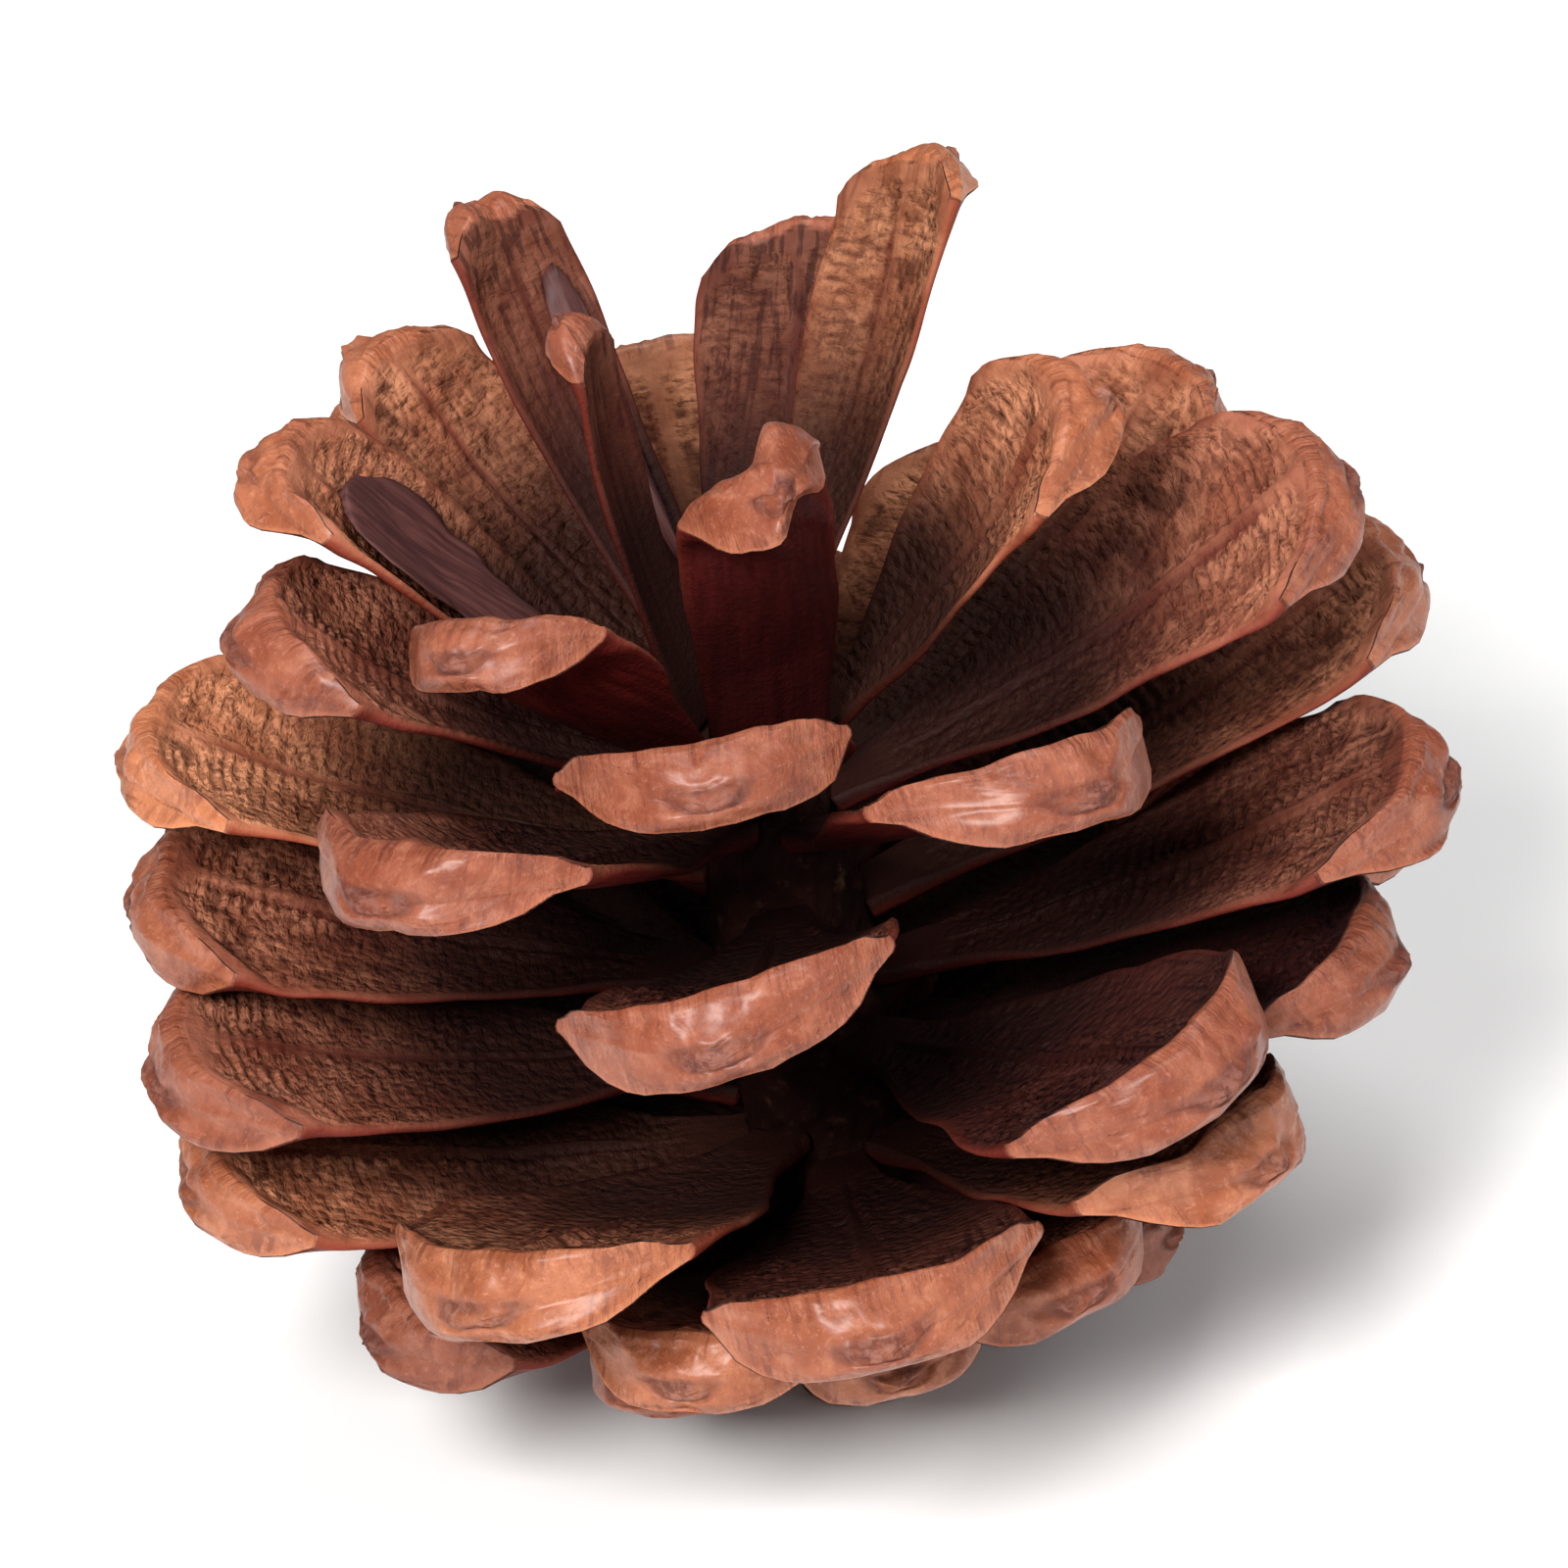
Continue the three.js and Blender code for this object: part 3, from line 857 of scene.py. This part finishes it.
# What chance gives a scale: how far its end's belly leans to one side, how far to one side the line between
# the imprints runs, and how far along the scale the imprints reach. Narrow scales get wider roots, and the
# lowest scales painted shade, darker the lower they sit.
LEAN_SPREAD = 0.14
FOLD_SPREAD = 0.12
IMPRINT_REACH = (0.965, 0.99)
NARROW_WIDTH = 10.0
NARROWEST_DROP = 6.0
NARROW_ROOT_GAIN = 0.55
LOW_HEIGHT = 26
LOWEST_DROP = 20
LOW_PAINTED_SHADE = 0.9

# What sets single scales apart: root is the root's width as a share of the scale's, depth_share the end's
# depth as a share of what its width gives, lobe how far one side of the end stands up in millimetres, marks
# how strongly the seed wings marked the inner face, darkness how dark that face is, as painted shade where
# it lies under other scales and as a darker tint of its own on a few scales at the top, lean how far the
# end's belly is to one side, and tone how light the whole scale is, with painted shade on scale_08 and
# painted light on scale_41.
CHARACTER = {
    "scale_08": {"tone_and_painted_light": -1.6},
    "scale_18": {"painted_shade_and_tint": 0.6},
    "scale_19": {"painted_shade_and_tint": 0.85},
    "scale_22": {"painted_shade_and_tint": 0.45},
    "scale_23": {"painted_shade_and_tint": 1.0},
    "scale_27": {"painted_shade_and_tint": 0.3},
    "scale_29": {"painted_shade_and_tint": 0.95, "lean": 0.2},
    "scale_31": {"painted_shade_and_tint": 0.45},
    "scale_35": {"painted_shade_and_tint": 0.2},
    "scale_38": {"painted_shade_and_tint": 0.6, "lean": -0.08},
    "scale_41": {"tone_and_painted_light": 1.4},
    "scale_42": {"painted_shade_and_tint": 0.6, "lean": 0.22},
    "scale_44": {"lean": -0.1},
    "scale_47": {"painted_shade_and_tint": 0.6, "lean": 0.16},
    "scale_51": {"painted_shade_and_tint": 0.6, "tone_and_painted_light": -0.6},
    "scale_52": {"painted_shade_and_tint": 0.15},
    "scale_54": {"painted_shade_and_tint": 0.25},
    "scale_55": {"root": 0.75, "depth_share": 1.5, "lobe": 2.2, "marks": 0.2, "painted_shade_and_tint": 0.9},
    "scale_56": {"marks": 0.35, "painted_shade_and_tint": 0.55, "lobe": 0.8},
    "scale_57": {"root": 0.85, "depth_share": 0.7, "marks": 0.0, "painted_shade_and_tint": 0.5},
}


def scale_shape(node, seed, rng):
    """A CAD scale's seat and sizes, with what chance and its character add."""
    shape = read_scale(node)
    narrowness = float(np.clip((NARROW_WIDTH - shape["width"]) / NARROWEST_DROP, 0, 1))
    lowness = float(np.clip((LOW_HEIGHT - shape["origin"][2]) / LOWEST_DROP, 0, 1))
    shape.update({
        "seed": seed,
        "lean": rng.uniform(-LEAN_SPREAD, LEAN_SPREAD),
        "fold": rng.uniform(-FOLD_SPREAD, FOLD_SPREAD),
        "tone_and_painted_light": rng.uniform(-1, 1) - LOW_PAINTED_SHADE * lowness,
        "imprint": rng.uniform(*IMPRINT_REACH),
        "root": ROOT_WIDTH + NARROW_ROOT_GAIN * narrowness,
        "lobe": 0.0,
        "marks": 1.0,
        "painted_shade_and_tint": 0.0,
        "depth_share": 1.0,
    })
    shape.update(CHARACTER.get(node, {}))
    shape["depth"] *= shape["depth_share"]
    return shape


def radial_place(shape, points):
    """Coordinates for the wrinkles on a scale's end, which run across its rim."""
    x, y, z = points.T
    return np.stack([y * 2.9, (z + x) * 0.3, np.full(len(y), shape["seed"] * RADIAL_STEP)], axis=1)


def scale_piece(node, shape):
    rings, masks = scale_mesh(shape)
    points = np.vstack(rings)
    attributes = {key: np.concatenate([mask[key] for mask in masks]) for key in masks[0]}
    attributes["tone_and_painted_light"] = np.full(len(points), shape["tone_and_painted_light"])
    attributes["painted_shade_and_tint"] = np.full(len(points), shape["painted_shade_and_tint"])
    attributes["fibre"] = points + np.array([0, 0, shape["seed"] * FIBRE_STEP])
    attributes["radial"] = radial_place(shape, points)
    faces = ring_faces(rings)
    new_piece(f"fine_{node}", on_seat(shape, points), faces, node, SCALE_WOOD, attributes)


rng = np.random.default_rng(57)
scale_nodes = sorted(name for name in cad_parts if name.startswith("scale_"))
shapes = {node: scale_shape(node, number + 1, rng) for number, node in enumerate(scale_nodes)}
for node, shape in shapes.items():
    scale_piece(node, shape)


# ---- the axis ----

AXIS_COLUMNS = 96
AXIS_RINGS = 150
AXIS_LUMPS = 0.2
AXIS_KNOBS = 0.12
AXIS_SHRINK = 0.2
AXIS_CROWN = 0.1
AXIS_SEED = 71


def axis_piece():
    """The woody axis: a knobbly core between the scales and a broken stub below them."""
    corners, _ = merged_mesh("cone_axis")
    heights = np.unique(np.round(corners[:, 2], 3))
    radii = [np.hypot(*corners[np.abs(corners[:, 2] - z) < 0.01][:, :2].T).max() for z in heights]
    angle = np.linspace(0, 2 * math.pi, AXIS_COLUMNS, endpoint=False)
    rings = []
    for z in np.linspace(0, heights[-1], AXIS_RINGS):
        lumps = AXIS_LUMPS * fractal(angle * 3.2, z * 0.6, AXIS_SEED)
        knobs = AXIS_KNOBS * noise(angle * 14, z * 2.5, AXIS_SEED + 1)
        radius = np.interp(z, heights, radii) + (lumps + knobs - AXIS_SHRINK) * smoothstep(z, 0.15, 0.8)
        height = np.full(AXIS_COLUMNS, z)
        rings.append(np.stack([radius * np.cos(angle), radius * np.sin(angle), height], axis=1))
    rings.append(rings[-1].mean(axis=0, keepdims=True) + [[0, 0, AXIS_CROWN]])
    points = np.vstack(rings) * MM
    new_piece("fine_cone_axis", points, ring_faces(rings), "cone_axis", axis_wood())


axis_piece()


# ---- the seed wings ----

# A wing's host scale, with the wing's middle and half width as shares of the scale's half width. A wing's
# outline is its spread at shares of the scale's length.
WING_SEATS = {"seed_wing_53": ("scale_53", 0.12, 0.82), "seed_wing_56": ("scale_56", -0.5, 0.3)}
WING_OUTLINE = [
    (0.2, 0.02), (0.27, 0.36), (0.34, 0.55), (0.52, 0.85), (0.7, 1), (0.78, 0.9), (0.83, 0.55), (0.85, 0.05),
]
WING_COLUMNS = 25
WING_RINGS = 60
WING_THICKNESS = 0.22
WING_GAP = 0.38
WING_CAMBER = 0.3
WING_WAVE = 0.12
WING_SEED = 81
WING_SKIN = wing_skin()


def wing_piece(node):
    """A papery seed wing lying along its scale's inner face."""
    host, middle, half = WING_SEATS[node]
    shape = shapes[host]
    side = np.linspace(-1, 1, WING_COLUMNS)
    stations, spreads = zip(*WING_OUTLINE)
    rings = []
    for s in np.linspace(stations[0], stations[-1], WING_RINGS):
        spread = np.interp(s, stations, spreads) * (1 + 0.05 * noise(s * 20, 1, WING_SEED + 2))
        under = inner_face(shape, s, middle + side * half * spread)
        wave = WING_WAVE * fractal(under[:, 0] * 0.5, under[:, 1] * 0.6, WING_SEED)
        under[:, 2] += WING_GAP + WING_CAMBER * (1 - np.abs(side)) + wave
        top = under.copy()
        top[:, 2] += WING_THICKNESS * (1 - 0.6 * np.abs(side) ** 3)
        rings.append(np.vstack([top, under[::-1]]))
    rings.append(rings[-1].mean(axis=0, keepdims=True))
    points = np.vstack(rings)
    faces = ring_faces(rings)
    new_piece(f"fine_{node}", on_seat(shape, points), faces, node, WING_SKIN, {"fibre": points})


for node in WING_SEATS:
    wing_piece(node)


# ---- the studio ----

FLOOR_REACH = 3.0
SKY_STRENGTH = 0.17
WHITE = (1, 1, 1)
WARM_WHITE = (1.0, 0.98, 0.96)

# Each light's place and size in metres, its power in watts and its tint.
LIGHTS = {
    "key": ((-0.16, -0.42, 0.42), 0.2, 5.4, WARM_WHITE),
    "top": ((0.1, 0.05, 0.6), 0.3, 1.8, WHITE),
    "fill": ((0.42, -0.2, 0.3), 0.4, 0.9, WHITE),
}

# The view: how far the camera is from the middle of the cone's axis, how high it looks down from, how far
# it is tilted sideways, the width it sees there, and how far the view is shifted, as shares of that width.
CONE_MIDDLE = Vector((0, 0, 0.025))
VIEW_DISTANCE = 0.42
VIEW_ELEVATION = math.radians(30)
VIEW_TILT = math.radians(10.34)
VIEW_WIDTH = 0.07136
VIEW_SHIFT = (-0.0025, 0.0806)
SENSOR = 36.0
CLIP_START = 0.01


def floor():
    mesh = bpy.data.meshes.new("floor")
    corners = [(x * FLOOR_REACH, y * FLOOR_REACH, 0) for x, y in ((-1, -1), (1, -1), (1, 1), (-1, 1))]
    mesh.from_pydata(corners, [], [(0, 1, 2, 3)])
    n = Nodes("floor paper")
    grain = n.noise(n.add("ShaderNodeTexCoord").outputs["Object"], 40, 2)
    n.finish(Base_Color=n.mix(grain, colour(0.93, 0.93, 0.93), colour(0.95, 0.95, 0.95)), Roughness=0.9)
    mesh.materials.append(n.material)
    plane = bpy.data.objects.new("floor", mesh)
    bpy.context.scene.collection.objects.link(plane)


def area_light(name, place, size, watts, tint):
    light = bpy.data.lights.new(name, "AREA")
    light.shape = "SQUARE"
    light.size = size
    light.energy = watts
    light.color = tint
    lamp = bpy.data.objects.new(name, light)
    bpy.context.scene.collection.objects.link(lamp)
    lamp.location = place
    lamp.rotation_euler = (CONE_MIDDLE - Vector(place)).to_track_quat("-Z", "Y").to_euler()


def sky():
    world = bpy.data.worlds.new("studio")
    world.use_nodes = True
    background = world.node_tree.nodes["Background"]
    background.inputs["Color"].default_value = colour(*WHITE)
    background.inputs["Strength"].default_value = SKY_STRENGTH
    bpy.context.scene.world = world


def camera():
    data = bpy.data.cameras.new("camera")
    data.sensor_width = SENSOR
    data.lens = SENSOR * VIEW_DISTANCE / VIEW_WIDTH
    data.shift_x, data.shift_y = VIEW_SHIFT
    data.clip_start = CLIP_START
    eye = bpy.data.objects.new("camera", data)
    bpy.context.scene.collection.objects.link(eye)
    offset = Vector((0, -math.cos(VIEW_ELEVATION), math.sin(VIEW_ELEVATION))) * VIEW_DISTANCE
    look = (-offset).to_track_quat("-Z", "Y").to_matrix().to_4x4()
    eye.matrix_world = Matrix.Translation(CONE_MIDDLE + offset) @ look @ Matrix.Rotation(-VIEW_TILT, 4, "Z")
    bpy.context.scene.camera = eye


bpy.context.scene.view_settings.view_transform = "Standard"
floor()
sky()
for name, settings in LIGHTS.items():
    area_light(name, *settings)
camera()
